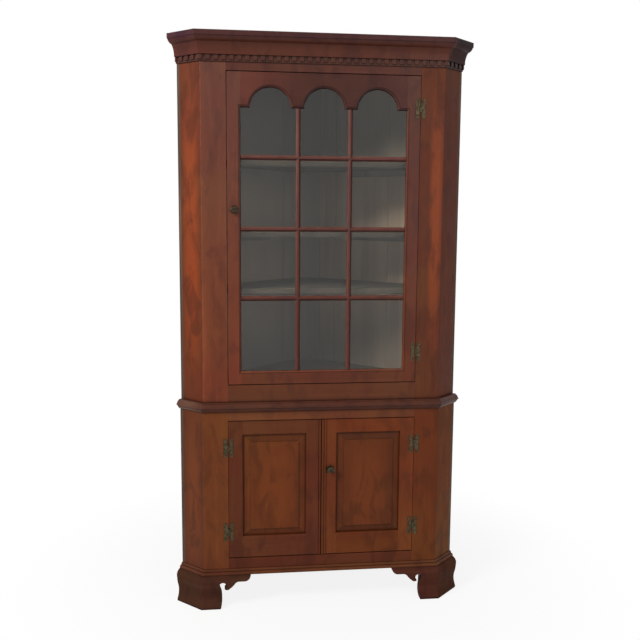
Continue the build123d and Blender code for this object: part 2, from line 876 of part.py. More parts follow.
# Lower doors
def lower_door(name, hinge_edge, meeting_edge, hinges, knob, beaded):
    """Frame and raised panel of one lower door."""
    side = 1 if meeting_edge > hinge_edge else -1
    panel_hinge = hinge_edge + side * lower_hinge_stile
    panel_meeting = meeting_edge - side * lower_meeting_stile
    panel_left = min(panel_hinge, panel_meeting)
    panel_right = max(panel_hinge, panel_meeting)
    panel_low = lower_door_bottom + lower_door_bottom_rail
    panel_high = lower_door_top - lower_door_top_rail
    centre = ((panel_left + panel_right) / 2, (panel_low + panel_high) / 2)
    width = panel_right - panel_left
    height = panel_high - panel_low
    door_left = min(hinge_edge, meeting_edge)
    door_right = max(hinge_edge, meeting_edge)
    door_middle = (lower_door_bottom + lower_door_top) / 2
    door_rise = lower_door_top - lower_door_bottom

    with BuildPart() as frame:
        with BuildSketch(front_plane(lower_front)):
            with Locations(((door_left + door_right) / 2, door_middle)):
                Rectangle(door_right - door_left, door_rise)
            with Locations(centre):
                Rectangle(width, height, mode=Mode.SUBTRACT)
        extrude(amount=-door_board)
        front_face = frame.faces().sort_by(Axis.Y)[0]
        fillet(front_face.inner_wires().edges(), radius=edge_round)
        with BuildSketch(front_plane(lower_front + panel_seat - panel_groove_play)):
            with Locations(centre):
                Rectangle(width + 2 * panel_groove_depth, height + 2 * panel_groove_depth)
        extrude(amount=-(panel_tongue + 2 * panel_groove_play), mode=Mode.SUBTRACT)
        drill(screw_points(hinges, True))
        if beaded:
            inner_edge = meeting_edge - side * worked_bead
            tall = door_rise + 2 * overrun
            with Locations((inner_edge - side * bead_quirk / 2, lower_front, door_middle)):
                Box(bead_quirk, 2 * bead_quirk_depth, tall, mode=Mode.SUBTRACT)
            for edge_x in (inner_edge, meeting_edge):
                corner = frame.edges().filter_by(Axis.Z).sort_by_distance((edge_x, lower_front, door_middle))[0]
                fillet(corner, radius=bead_round)
        if knob:
            with Locations((knob[0], lower_front + door_board / 2, knob[1])):
                Cylinder(spindle_radius + spindle_play, door_board, rotation=(90, 0, 0), mode=Mode.SUBTRACT)

    with BuildPart() as stiles:
        add(sawn(frame.part, door_left, panel_left, lower_door_bottom, lower_door_top, lower_front))
        add(sawn(frame.part, panel_right, door_right, lower_door_bottom, lower_door_top, lower_front))
    keep(stiles.part, f"{name}_stiles")
    with BuildPart() as rails:
        add(sawn(frame.part, panel_left, panel_right, lower_door_bottom, panel_low, lower_front))
        add(sawn(frame.part, panel_left, panel_right, panel_high, lower_door_top, lower_front))
    keep(rails.part, f"{name}_rails")

    reach = panel_groove_depth - panel_play
    bevel_front = lower_front + panel_field_recess + panel_field_step
    field = (width - 2 * panel_margin, height - 2 * panel_margin)
    with BuildPart() as panel:
        with BuildSketch(front_plane(lower_front + panel_seat)):
            with Locations(centre):
                Rectangle(width + 2 * reach, height + 2 * reach)
        extrude(amount=-panel_tongue)
        with BuildSketch(front_plane(lower_front + panel_seat)):
            with Locations(centre):
                Rectangle(width - 2 * panel_play, height - 2 * panel_play)
        with BuildSketch(front_plane(bevel_front)):
            with Locations(centre):
                Rectangle(*field)
        loft()
        with BuildSketch(front_plane(bevel_front)):
            with Locations(centre):
                Rectangle(*field)
        extrude(amount=panel_field_step)
    keep(panel.part, f"{name}_panel")


right_knob_x = right_door_edges[0] + right_knob_edge
right_knob_z = lower_door_bottom + right_knob_share * (lower_door_top - lower_door_bottom)
lower_door("left_door", left_door_edges[0], left_door_edges[1], left_hinges, None, True)
lower_door("right_door", right_door_edges[1], right_door_edges[0], right_hinges,
           (right_knob_x, right_knob_z), False)

# A strip of two reeds planted on the right door, beside the bead worked on the left door's edge
with BuildPart() as meeting_bead:
    reed_foot = -0.3 * bead_height
    plane = Plane(origin=(right_door_edges[0], lower_front, lower_door_bottom), x_dir=(1, 0, 0), z_dir=(0, 0, 1))
    with BuildSketch(plane):
        with BuildLine():
            Polyline((bead_width, reed_foot), (bead_width, 0), (0, 0), (0, reed_foot))
            for start_share in (0, 0.5):
                ThreePointArc((start_share * bead_width, reed_foot), ((start_share + 0.25) * bead_width, -bead_height),
                              ((start_share + 0.5) * bead_width, reed_foot))
        make_face()
    extrude(amount=lower_door_top - lower_door_bottom)
keep(meeting_bead.part, "meeting_bead")


# Hinges
def hinge_leaf(x, face, z, side, places):
    """One leaf on a face, with its knuckles round the axis."""
    axis_y = face - axis_forward
    middle = x + side * (hinge_leaf_start + hinge_leaf_width / 2)
    outer = x + side * (hinge_leaf_start + hinge_leaf_width)
    web_start = barrel_radius / 2
    web_stop = hinge_leaf_start + hinge_leaf_corner / 2
    web_front = axis_forward - barrel_clearance
    with BuildPart() as leaf:
        with BuildSketch(front_plane(face - hinge_leaf_thickness)):
            with Locations((middle, z)):
                RectangleRounded(hinge_leaf_width, hinge_height, hinge_leaf_corner)
            with Locations((outer + side * hinge_notch_radius / 3, z)):
                Circle(hinge_notch_radius, mode=Mode.SUBTRACT)
            for end in (-1, 1):
                with BuildLine():
                    Polyline(
                        (x + side * hinge_leaf_start, z + end * barrel_length / 2),
                        (x + side * hinge_leaf_start, z + end * hinge_height / 2),
                        (x + side * (hinge_leaf_start + hinge_leaf_flare), z + end * hinge_height / 2),
                        close=True,
                    )
                make_face(mode=Mode.SUBTRACT)
            with Locations((middle, z - screw_spread), (middle, z + screw_spread)):
                Circle(screw_radius + screw_play, mode=Mode.SUBTRACT)
        extrude(amount=-hinge_leaf_thickness)
        for place in places:
            knuckle_z = z + place * (knuckle_length + knuckle_gap)
            with Locations((x, axis_y, knuckle_z)):
                Cylinder(barrel_radius, knuckle_length)
            with Locations((x + side * (web_start + web_stop) / 2, face - web_front / 2, knuckle_z)):
                Box(web_stop - web_start, web_front, knuckle_length)
            with Locations((x, axis_y, knuckle_z)):
                Cylinder(pin_radius + pin_play, knuckle_length, mode=Mode.SUBTRACT)
    return leaf.part


all_hinges = glazed_hinges + left_hinges + right_hinges
with BuildPart() as hinge_leaves_case:
    for x, face, z, side in all_hinges:
        add(hinge_leaf(x, face, z, -side, (-1, 1)))
with BuildPart() as hinge_pins:
    for x, face, z, side in all_hinges:
        with Locations((x, face - axis_forward, z)):
            Cylinder(pin_radius, barrel_length)
        for end in (-1, 1):
            with Locations((x, face - axis_forward, z + end * (barrel_length + pin_head_height) / 2)):
                Cylinder(pin_head_radius, pin_head_height)
keep_group([hinge_leaves_case.part, hinge_pins.part], "hinge_leaves_case")

for name, hinges in (
    ("glazed_door", glazed_hinges),
    ("left_door", left_hinges),
    ("right_door", right_hinges),
):
    with BuildPart() as leaves:
        for x, face, z, side in hinges:
            add(hinge_leaf(x, face, z, side, (0,)))
    keep(leaves.part, f"hinge_leaves_{name}")


def screws(points, name):
    """Domed screws through the leaves into the wood."""
    with BuildPart() as group:
        for x, face, z in points:
            top = face - hinge_leaf_thickness
            with Locations((x, top + screw_length / 2 - hinge_leaf_thickness, z)):
                Cylinder(screw_radius, screw_length - 2 * hinge_leaf_thickness, rotation=(90, 0, 0))
            with Locations((x, top - screw_head_height / 2, z)):
                Cylinder(screw_head_radius, screw_head_height, rotation=(90, 0, 0))
    keep(group.part, name)


screws(screw_points(all_hinges, False), "hinge_screws_case")
screws(screw_points(glazed_hinges, True), "hinge_screws_glazed_door")
screws(screw_points(left_hinges, True), "hinge_screws_left_door")
screws(screw_points(right_hinges, True), "hinge_screws_right_door")


# Turn knobs, each with a spindle through the stile and a catch behind it
def turn_knob(name, x, face, z, reach):
    """An oval knob on a neck and spindle, and the catch on its inner end, hanging down."""
    plane = Plane(origin=(x, face, z), x_dir=(1, 0, 0), z_dir=(0, -1, 0))
    catch_back = face + door_board + catch_stand_off + catch_thickness
    with BuildPart() as knob:
        with BuildSketch(plane.offset(knob_stand_off + knob_neck_length)):
            Ellipse(knob_half_length, knob_half_width)
        extrude(amount=knob_thickness)
        rims = knob.faces().filter_by(Axis.Y).edges()
        fillet(rims, radius=knob_round)
        with BuildSketch(plane.offset(knob_stand_off)):
            Circle(knob_neck_radius)
        extrude(amount=knob_neck_length)
        with BuildSketch(plane.offset(knob_stand_off)):
            Circle(rose_radius)
        extrude(amount=rose_height, taper=rose_taper)
        with BuildSketch(plane.offset(knob_stand_off)):
            Circle(spindle_radius)
        extrude(amount=-(knob_stand_off + catch_back - face))
    with BuildPart() as catch:
        with BuildSketch(front_plane(catch_back - catch_thickness)):
            with Locations((x, z)):
                Circle(catch_width * 0.62)
            with Locations((x, z - reach / 2)):
                Rectangle(catch_width, reach)
            with Locations((x, z)):
                Circle(spindle_radius + catch_play, mode=Mode.SUBTRACT)
        extrude(amount=-catch_thickness)
    with BuildPart() as assembly:
        add(knob.part)
        add(catch.part)
    keep(assembly.part, name)


turn_knob("glazed_door_turn_knob", glazed_knob_x, upper_front, glazed_knob_z, glazed_catch_reach)
turn_knob("right_door_turn_knob", right_knob_x, lower_front, right_knob_z, right_catch_reach)

# Slide bolt on the back of the left door's meeting stile, drawn down at rest
bolt_x = left_door_edges[1] - lower_meeting_stile / 2
bolt_front = lower_front + door_board + bolt_clearance
bolt_top = lower_door_top - bolt_top_drop
bolt_middle = bolt_top - bolt_length / 2
with BuildPart() as left_door_bolt:
    with Locations((bolt_x, bolt_front + bolt_thickness / 2, bolt_middle)):
        Box(bolt_width, bolt_thickness, bolt_length)
    with BuildSketch(front_plane(bolt_front + bolt_thickness)):
        with Locations((bolt_x, bolt_middle)):
            Circle(bolt_grip_radius)
    extrude(amount=-bolt_grip_length)
keep(left_door_bolt.part, "left_door_bolt")

with BuildPart() as bolt_staples:
    inner_width = bolt_width + 2 * bolt_clearance
    inner_depth = bolt_thickness + 2 * bolt_clearance
    outer_width = inner_width + 2 * staple_strap
    outer_depth = inner_depth + staple_strap
    door_back_y = lower_front + door_board
    for end in (-1, 1):
        z = bolt_middle + end * staple_spread / 2
        with Locations((bolt_x, door_back_y + outer_depth / 2, z)):
            Box(outer_width, outer_depth, staple_height)
        with Locations((bolt_x, door_back_y + staple_strap / 2, z)):
            Box(outer_width + 2 * staple_ear, staple_strap, staple_height)
        with Locations((bolt_x, door_back_y + inner_depth / 2, z)):
            Box(inner_width, inner_depth, staple_height, mode=Mode.SUBTRACT)
keep(bolt_staples.part, "bolt_staples")
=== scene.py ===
import json
from math import acos, cos, radians, sin
from typing import NamedTuple

import bpy
from mathutils import Matrix, Vector


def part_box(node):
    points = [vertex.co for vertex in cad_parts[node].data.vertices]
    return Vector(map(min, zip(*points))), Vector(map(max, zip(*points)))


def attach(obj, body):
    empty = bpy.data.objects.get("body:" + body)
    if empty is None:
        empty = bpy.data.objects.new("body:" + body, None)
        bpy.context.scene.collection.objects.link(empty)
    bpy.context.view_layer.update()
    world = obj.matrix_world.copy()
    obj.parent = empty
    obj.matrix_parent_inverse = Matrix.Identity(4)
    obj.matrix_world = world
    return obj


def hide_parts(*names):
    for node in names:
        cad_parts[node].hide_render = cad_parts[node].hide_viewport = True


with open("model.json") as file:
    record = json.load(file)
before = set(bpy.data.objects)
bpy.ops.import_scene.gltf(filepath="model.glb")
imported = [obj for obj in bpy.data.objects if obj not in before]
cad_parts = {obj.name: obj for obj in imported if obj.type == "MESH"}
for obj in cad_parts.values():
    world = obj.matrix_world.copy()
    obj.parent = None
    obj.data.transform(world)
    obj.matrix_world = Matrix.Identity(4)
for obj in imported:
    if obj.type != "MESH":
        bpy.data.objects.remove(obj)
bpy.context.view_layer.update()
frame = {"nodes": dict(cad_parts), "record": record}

# Key sizes, in metres, read from the frame
mm = 0.001
return_slant = radians(45.0)
along = cos(return_slant)
mount_places = {mount["name"]: mount["pos_m"] for mount in frame["record"]["mounts"]}
wall_x, wall_y, _ = mount_places["right_wall"]


def front_corner(case):
    """The right front corner of a case, in plan."""
    low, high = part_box(f"{case}_stile_right")
    return high.x, low.y


def return_width(half_front, front):
    """How wide a slanting side is, from its front corner to the plane of the wall."""
    return (wall_x + wall_y - half_front - front) * along


upper_half, upper_front = front_corner("upper")
lower_half, lower_front = front_corner("lower")
upper_return = return_width(upper_half, upper_front)
lower_return = return_width(lower_half, lower_front)
waist_z, top_z = (corner.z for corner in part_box("upper_stile_right"))


def add_object(name, data):
    """A new object in the scene."""
    made = bpy.data.objects.new(name, data)
    bpy.context.scene.collection.objects.link(made)
    return made


# Camera at the photograph's viewing angle
camera_place = Vector((-0.403238, -3.417244, 1.539787))
camera_yaw = -0.123243
camera_pitch = -0.130734
camera_roll = 0.007337
focal_length_px = 846.698
photo_width_px = 640.0
sensor_width_mm = 36.0
farthest_view = 50.0


def place_camera():
    """The camera fitted to the photograph's 640 by 640 frame."""
    ahead = Vector((-sin(camera_yaw), cos(camera_yaw), 0.0))
    right = Vector((cos(camera_yaw), sin(camera_yaw), 0.0))
    up = Vector((0.0, 0.0, 1.0))
    look = ahead * cos(camera_pitch) + up * sin(camera_pitch)
    head = up * cos(camera_pitch) - ahead * sin(camera_pitch)
    right_rolled = right * cos(camera_roll) + head * sin(camera_roll)
    head_rolled = head * cos(camera_roll) - right * sin(camera_roll)
    turn = Matrix((right_rolled, head_rolled, -look)).transposed()
    camera = add_object("camera", bpy.data.cameras.new("camera"))
    camera.matrix_world = Matrix.Translation(camera_place) @ turn.to_4x4()
    camera.data.sensor_width = sensor_width_mm
    camera.data.lens = focal_length_px / photo_width_px * sensor_width_mm
    camera.data.clip_end = farthest_view
    bpy.context.scene.camera = camera


place_camera()


# Node helpers
class MixSockets(NamedTuple):
    """The places of a Mix node's two inputs and of its output, for one type of data."""

    first: int
    second: int
    output: int


mix_sockets = {"RGBA": MixSockets(6, 7, 2), "VECTOR": MixSockets(4, 5, 1)}


class Nodes:
    """Short calls for building a node tree."""

    def __init__(self, tree):
        self.tree = tree
        self.tree.nodes.clear()

    def new(self, kind, **settings):
        node = self.tree.nodes.new(kind)
        for key, value in settings.items():
            setattr(node, key, value)
        return node

    def link(self, source, target):
        self.tree.links.new(source, target)

    def put(self, socket, value):
        """Link a socket, or set a constant on it."""
        if isinstance(value, bpy.types.NodeSocket):
            self.link(value, socket)
        else:
            socket.default_value = value

    def math(self, operation, first, second=None):
        node = self.new("ShaderNodeMath", operation=operation)
        self.put(node.inputs[0], first)
        if second is not None:
            self.put(node.inputs[1], second)
        return node.outputs[0]

    def mix(self, share, first, second, blend="MIX", data="RGBA"):
        """Two colours, or two vectors, mixed."""
        node = self.new("ShaderNodeMix", data_type=data, blend_type=blend)
        sockets = mix_sockets[data]
        self.put(node.inputs["Factor"], share)
        self.put(node.inputs[sockets.first], first)
        self.put(node.inputs[sockets.second], second)
        return node.outputs[sockets.output]

    def mix_shaders(self, share, first, second):
        node = self.new("ShaderNodeMixShader")
        self.link(share, node.inputs[0])
        self.link(first, node.inputs[1])
        self.link(second, node.inputs[2])
        return node.outputs[0]

    def noise(self, vector, scale, detail=4.0, roughness=0.55, distortion=0.0):
        """Fractal noise; its scale is in waves per metre."""
        node = self.new("ShaderNodeTexNoise")
        self.link(vector, node.inputs["Vector"])
        node.inputs["Scale"].default_value = scale
        node.inputs["Detail"].default_value = detail
        node.inputs["Roughness"].default_value = roughness
        node.inputs["Distortion"].default_value = distortion
        return node.outputs[0]

    def ramp(self, value, low, high, first=0.0, last=1.0):
        """A value mapped smoothly from low..high to first..last."""
        node = self.new("ShaderNodeMapRange", interpolation_type="SMOOTHSTEP")
        self.link(value, node.inputs["Value"])
        node.inputs["From Min"].default_value = low
        node.inputs["From Max"].default_value = high
        node.inputs["To Min"].default_value = first
        node.inputs["To Max"].default_value = last
        return node.outputs[0]

    def split(self, vector):
        """The three parts of a vector."""
        node = self.new("ShaderNodeSeparateXYZ")
        self.link(vector, node.inputs[0])
        return node.outputs

    def join(self, *parts):
        """A vector of three parts."""
        node = self.new("ShaderNodeCombineXYZ")
        for socket, part in zip(node.inputs, parts):
            self.put(socket, part)
        return node.outputs[0]

    def dot(self, first, second):
        node = self.new("ShaderNodeVectorMath", operation="DOT_PRODUCT")
        self.put(node.inputs[0], first)
        self.put(node.inputs[1], second)
        return node.outputs["Value"]

    def length(self, vector):
        node = self.new("ShaderNodeVectorMath", operation="LENGTH")
        self.link(vector, node.inputs[0])
        return node.outputs["Value"]

    def bump(self, height, strength, distance, normal=None):
        """A surface raised by a height from 0 to 1."""
        node = self.new("ShaderNodeBump")
        node.inputs["Strength"].default_value = strength
        node.inputs["Distance"].default_value = distance
        self.link(height, node.inputs["Height"])
        if normal is not None:
            self.link(normal, node.inputs["Normal"])
        return node.outputs[0]

    def light_path(self, first, *others):
        """1 for rays of any of the named kinds."""
        path = self.new("ShaderNodeLightPath")
        seen = path.outputs[first]
        for name in others:
            seen = self.math("MAXIMUM", seen, path.outputs[name])
        return seen


class Surface(Nodes):
    """The node tree of a new material, with its main shader and the object's coordinates."""

    def __init__(self, name):
        self.material = bpy.data.materials.new(name)
        self.material.use_nodes = True
        super().__init__(self.material.node_tree)
        self.output = self.new("ShaderNodeOutputMaterial")
        self.shader = self.new("ShaderNodeBsdfPrincipled")
        self.link(self.shader.outputs[0], self.output.inputs[0])
        self.coordinates = self.new("ShaderNodeTexCoord").outputs["Object"]

    def set(self, **values):
        """Values or sockets for the shader's inputs, by name with _ for a space."""
        for name, value in values.items():
            self.put(self.shader.inputs[name.replace("_", " ")], value)

    def show_instead(self, share, other):
        """Another shader mixed over the main one."""
        self.link(self.mix_shaders(share, self.shader.outputs[0], other), self.output.inputs[0])


white = (1.0, 1.0, 1.0, 1.0)
unchanged = (1.0, 1.0, 1.0)
background_rays = ("Is Camera Ray", "Is Transmission Ray", "Is Glossy Ray")


def srgb(red, green, blue):
    """A colour from 0..255 screen values to a linear one."""

    def linear(channel):
        share = channel / 255.0
        return share / 12.92 if share <= 0.04045 else ((share + 0.055) / 1.055) ** 2.4

    return linear(red), linear(green), linear(blue), 1.0


def shade(colour, red, green=None, blue=None):
    """A colour with its channels multiplied; one factor alone serves all three."""
    factors = (red, green if green is not None else red, blue if blue is not None else red)
    return tuple(value * factor for value, factor in zip(colour, factors)) + (1.0,)


# Coordinates of the boards
grain_stretch = 0.045
board_shift = (3.17, 1.31, 2.73)
steady_share = 0.25


def unrolled(nodes):
    """Coordinates across, back and up: the slanting sides are unrolled in line with the front."""
    x, y, z = nodes.split(nodes.coordinates)
    out = nodes.math("SUBTRACT", nodes.math("ABSOLUTE", x), upper_half)
    back = nodes.math("SUBTRACT", y, upper_front)
    out_part = nodes.math("MULTIPLY", out, cos(return_slant / 2))
    back_part = nodes.math("MULTIPLY", back, sin(return_slant / 2))
    on_return = nodes.math("GREATER_THAN", nodes.math("ADD", out_part, back_part), 0.0)
    turned_u = nodes.math("ADD", nodes.math("MULTIPLY", nodes.math("ADD", out, back), along), upper_half)
    turned_v = nodes.math("MULTIPLY", nodes.math("SUBTRACT", back, out), along)
    signed_u = nodes.math("MULTIPLY", turned_u, nodes.math("SIGN", x))
    place_on_front = nodes.join(x, back, z)
    place_on_return = nodes.join(signed_u, turned_v, z)
    return nodes.mix(on_return, place_on_front, place_on_return, data="VECTOR")


def grain_vector(nodes, coordinates, direction, seed):
    """Coordinates squeezed along the grain, shifted for each board."""
    factors = (1.0, 1.0, grain_stretch) if direction == "up" else (grain_stretch, 1.0, 1.0)
    moved = [
        nodes.math("ADD", nodes.math("MULTIPLY", value, factor), seed * shift)
        for value, factor, shift in zip(nodes.split(coordinates), factors, board_shift)
    ]
    return nodes.join(*moved)


def swell(nodes, value, middle, half):
    """1 about the middle of a stretch, falling softly to 0 at its ends."""
    away = nodes.math("ABSOLUTE", nodes.math("SUBTRACT", value, middle))
    return nodes.ramp(away, steady_share * half, half, first=1.0, last=0.0)


# Looks of the showing wood
class PaintedLight(NamedTuple):
    """A patch of painted light on a board: its middle and half width across, then up, and its colour
    factors.
    """

    across: float
    half_across: float
    height: float
    half_height: float
    factors: tuple


class Fade(NamedTuple):
    """Colour factors at two places along u (across) or z (up), with a soft change between them."""

    axis: str
    start: float
    stop: float
    first: tuple
    last: tuple


class Board(NamedTuple):
    """The look of one piece: its tone, the way of its grain, and how pale its edges are, partly from wear
    and partly as a painted highlight.

    Shine is the strength of its reflections, dull is added to its roughness, and a third factor scales the
    dirt and painted shade in corners.
    A side-lit piece carries painted light on its slopes that face up and left and painted shade on the
    others.
    Some pieces are darker on the slopes that face up and down.
    """

    tone: tuple
    grain: str
    edge_wear_and_highlight: float
    painted_lights: tuple = ()
    fades: tuple = ()
    shine: float = 0.13
    dull: float = 0.0
    dirt_and_shade: float = 1.0
    side_lit: bool = False
    darker_top_and_bottom_slopes: bool = False


class Hollow(NamedTuple):
    """Dirt and painted shade in hollows of one size: it is full where they are shut and gone where they are
    open.
    """

    reach: float
    shut: float
    open: float
    strength: float


wide_hollow = Hollow(reach=18.0 * mm, shut=0.30, open=0.92, strength=0.60)
narrow_hollow = Hollow(reach=4.0 * mm, shut=0.40, open=0.88, strength=0.85)
edge_radius = 2.8 * mm
fibre_relief = 0.5 * mm
varnish_relief = 2.0 * mm
# The way the painted side light comes from
up_and_left = (-0.62, -0.10, 0.60)


def figured(nodes, tone, grain):
    """Soft clouds, darker figure and paler streaks along the grain."""
    clouds = nodes.noise(nodes.coordinates, scale=2.6, detail=3.0, roughness=0.5)
    figure = nodes.noise(grain, scale=7.0, detail=3.0, roughness=0.5, distortion=0.7)
    streaks = nodes.noise(grain, scale=60.0, distortion=0.3)
    cool = shade(tone, 1.0, 0.85, 0.90)
    warm = shade(tone, 1.13, 1.24, 1.04)
    dark_figure = shade(tone, 0.62, 0.58, 0.58)
    pale_streak = shade(tone, 1.45, 1.5, 1.5)
    colour = nodes.mix(nodes.ramp(clouds, 0.36, 0.64), cool, warm)
    colour = nodes.mix(nodes.ramp(figure, 0.34, 0.66, first=0.36, last=0.0), colour, dark_figure)
    return nodes.mix(nodes.ramp(streaks, 0.50, 0.76, last=0.34), colour, pale_streak)


def with_painted_lights(nodes, colour, board, place, grain):
    """Patches of painted light, uneven along the grain."""
    u, _, z = place
    for painted_light in board.painted_lights:
        across = swell(nodes, u, painted_light.across, painted_light.half_across)
        upward = swell(nodes, z, painted_light.height, painted_light.half_height)
        drift = nodes.ramp(nodes.noise(grain, scale=2.6, detail=2.0), 0.36, 0.60, first=0.45)
        patch = nodes.math("MULTIPLY", nodes.math("MULTIPLY", across, upward), drift)
        colour = nodes.mix(patch, colour, shade(board.tone, *painted_light.factors))
    return colour


def with_blotches(nodes, colour, tone, place):
    """Dark spots of uneven stain, drawn out along the height."""
    u, v, z = place
    drawn_out = nodes.join(u, v, nodes.math("MULTIPLY", z, 0.45))
    spots = nodes.noise(drawn_out, scale=17.0, detail=3.0, distortion=0.6)
    return nodes.mix(nodes.ramp(spots, 0.46, 0.66, last=0.62), colour, shade(tone, 0.62, 0.62, 0.74))


def with_fades(nodes, colour, fades, place):
    """Colour that changes from one end of a piece to the other: mostly painted light, shade and sheen, on
    the feet a change of stain.
    """
    u, _, z = place
    for fade in fades:
        share = nodes.ramp(u if fade.axis == "u" else z, fade.start, fade.stop)
        stain = nodes.mix(share, shade(white, *fade.first), shade(white, *fade.last))
        colour = nodes.mix(1.0, colour, stain, "MULTIPLY")
    return colour


def with_side_light(nodes, colour, normal):
    """Painted light on the slopes that face up and left, painted shade on the others."""
    slope = nodes.ramp(nodes.dot(normal, up_and_left), -0.35, 0.50)
    side_light = nodes.mix(slope, shade(white, 0.38, 0.30, 0.30), shade(white, 1.62, 2.05, 2.3))
    return nodes.mix(1.0, colour, side_light, "MULTIPLY")


def with_darker_top_and_bottom_slopes(nodes, colour, tone, normal):
    """Darker on the slopes that face up and down."""
    _, _, rise = nodes.split(normal)
    sloping = nodes.ramp(nodes.math("ABSOLUTE", rise), 0.02, 0.16, last=0.34)
    return nodes.mix(sloping, colour, shade(tone, 0.22, 0.24, 0.40))


def with_worn_and_lit_edges(nodes, colour, board, rounded, normal):
    """Edges painted pale in patches, partly rubbed wear and partly a painted highlight."""
    edge = nodes.ramp(nodes.dot(rounded, normal), 0.99, 0.88)
    patches = nodes.noise(nodes.coordinates, scale=60.0, detail=3.0)
    edge_wear_and_highlight = nodes.ramp(patches, 0.35, 0.65, first=0.3 * board.edge_wear_and_highlight, last=board.edge_wear_and_highlight)
    return nodes.mix(nodes.math("MULTIPLY", edge, edge_wear_and_highlight), colour, shade(board.tone, 2.2, 2.6, 3.0))


def with_dirt_and_shade(nodes, colour, board):
    """Dirt and painted shade in hollows: soft in the wide ones, strong in the narrow ones."""
    for hollow in (wide_hollow, narrow_hollow):
        shelter = nodes.new("ShaderNodeAmbientOcclusion", samples=8)
        shelter.inputs["Distance"].default_value = hollow.reach
        strength = hollow.strength * board.dirt_and_shade
        dirt_and_shade_share = nodes.ramp(shelter.outputs["AO"], hollow.shut, hollow.open, first=strength, last=0.0)
        colour = nodes.mix(dirt_and_shade_share, colour, shade(board.tone, 0.10, 0.08, 0.08))
    return colour


def varnish(nodes, board, grain, fibres, pores, rounded):
    """Worn varnish: uneven gloss, dull pores and a surface that follows the fibres."""
    cloudy = nodes.noise(nodes.coordinates, scale=14.0, roughness=0.6)
    rough = nodes.ramp(cloudy, 0.3, 0.7, first=0.31 + board.dull, last=0.44 + board.dull)
    waves = nodes.noise(grain, scale=14.0, detail=2.0)
    fibrous = nodes.bump(fibres, strength=0.15, distance=fibre_relief, normal=rounded)
    nodes.set(
        Roughness=nodes.math("ADD", rough, nodes.math("MULTIPLY", pores, 0.25)),
        Specular_IOR_Level=board.shine,
        Coat_Weight=0.4 * board.shine,
        Coat_Roughness=0.20,
        Normal=nodes.bump(waves, strength=0.10, distance=varnish_relief, normal=fibrous),
    )


def wood(name, board, seed):
    """Aged varnished cherry: fine grain, soft figure, dark pores, edges paled by wear and a painted
    highlight, and dirt and painted shade in corners.
    """
    nodes = Surface(name)
    coordinates = unrolled(nodes)
    place = nodes.split(coordinates)
    grain = grain_vector(nodes, coordinates, board.grain, seed)
    fibres = nodes.noise(grain, scale=420.0, detail=3.0, roughness=0.6)
    pores = nodes.ramp(fibres, 0.54, 0.74, last=0.3)
    geometry = nodes.new("ShaderNodeNewGeometry").outputs
    bevel = nodes.new("ShaderNodeBevel", samples=4)
    bevel.inputs["Radius"].default_value = edge_radius
    rounded = bevel.outputs[0]
    colour = figured(nodes, board.tone, grain)
    colour = with_painted_lights(nodes, colour, board, place, grain)
    colour = with_blotches(nodes, colour, board.tone, place)
    colour = with_fades(nodes, colour, board.fades, place)
    colour = nodes.mix(pores, colour, shade(board.tone, 0.35))
    if board.side_lit:
        colour = with_side_light(nodes, colour, geometry["True Normal"])
    if board.darker_top_and_bottom_slopes:
        colour = with_darker_top_and_bottom_slopes(nodes, colour, board.tone, geometry["True Normal"])
    colour = with_worn_and_lit_edges(nodes, colour, board, rounded, geometry["Normal"])
    colour = with_dirt_and_shade(nodes, colour, board)
    nodes.set(Base_Color=colour)
    varnish(nodes, board, grain, fibres, pores, rounded)
    return nodes.material


# Woods of the showing pieces
body = srgb(98, 54, 38)
cherry = srgb(92, 46, 26)
dark_cherry = srgb(76, 40, 33)
old_foot = srgb(60, 30, 22)

# Patches of painted light, placed in metres across and up
left_painted_light = PaintedLight(
    across=-(upper_half + 0.46 * upper_return), half_across=0.44 * upper_return,
    height=1.46, half_height=0.68, factors=(2.2, 1.66, 1.1),
)
lower_left_painted_light = PaintedLight(
    across=-(lower_half + 0.4 * lower_return), half_across=0.4 * lower_return,
    height=0.45, half_height=0.4, factors=(1.35, 1.25, 1.0),
)
right_painted_light = PaintedLight(
    across=upper_half - 28.0 * mm, half_across=32.0 * mm,
    height=1.50, half_height=0.60, factors=(2.1, 1.6, 1.1),
)
left_panel_painted_light = PaintedLight(
    across=-0.185, half_across=0.10, height=0.46, half_height=0.26, factors=(1.3, 1.18, 1.0),
)
right_panel_painted_light = PaintedLight(
    across=0.175, half_across=0.10, height=0.46, half_height=0.26, factors=(1.3, 1.15, 1.0),
)

# Changes of colour across a piece, most of them painted light and shade
# Painted light: the glazed door's stiles and arched rail paler on the left, darker towards the middle.
left_to_right = Fade("u", -0.36, -0.05, first=(1.17, 1.1, 1.08), last=(0.80, 0.74, 0.70))
rail_left_to_right = Fade("u", -0.36, -0.04, first=(1.5, 1.35, 1.3), last=(0.76, 0.75, 0.72))
rail_right_end = Fade("u", 0.20, 0.34, first=unchanged, last=(1.22, 1.28, 1.34))
# Painted highlight along the upper case's left front corner.
left_corner_highlight = Fade("u", -0.455, -0.415, first=(1.22, 1.2, 1.15), last=unchanged)
# Painted sheen on the left returns of the waist and base mouldings.
waist_left_sheen = Fade("u", -0.50, -0.44, first=(1.5, 2.1, 2.35), last=unchanged)
base_left_sheen = Fade("u", -0.50, -0.45, first=(1.0, 1.2, 1.35), last=unchanged)
# Painted shade on the right returns of the cornice and the dentils.
shaded_right_end = Fade("u", 0.44, 0.47, first=unchanged, last=(0.375, 0.27, 0.28))
brown_foot_left = Fade("u", -0.475, -0.45, first=(0.97, 1.13, 1.02), last=unchanged)
brown_foot_right = Fade("u", 0.45, 0.475, first=unchanged, last=(0.99, 1.20, 1.0))

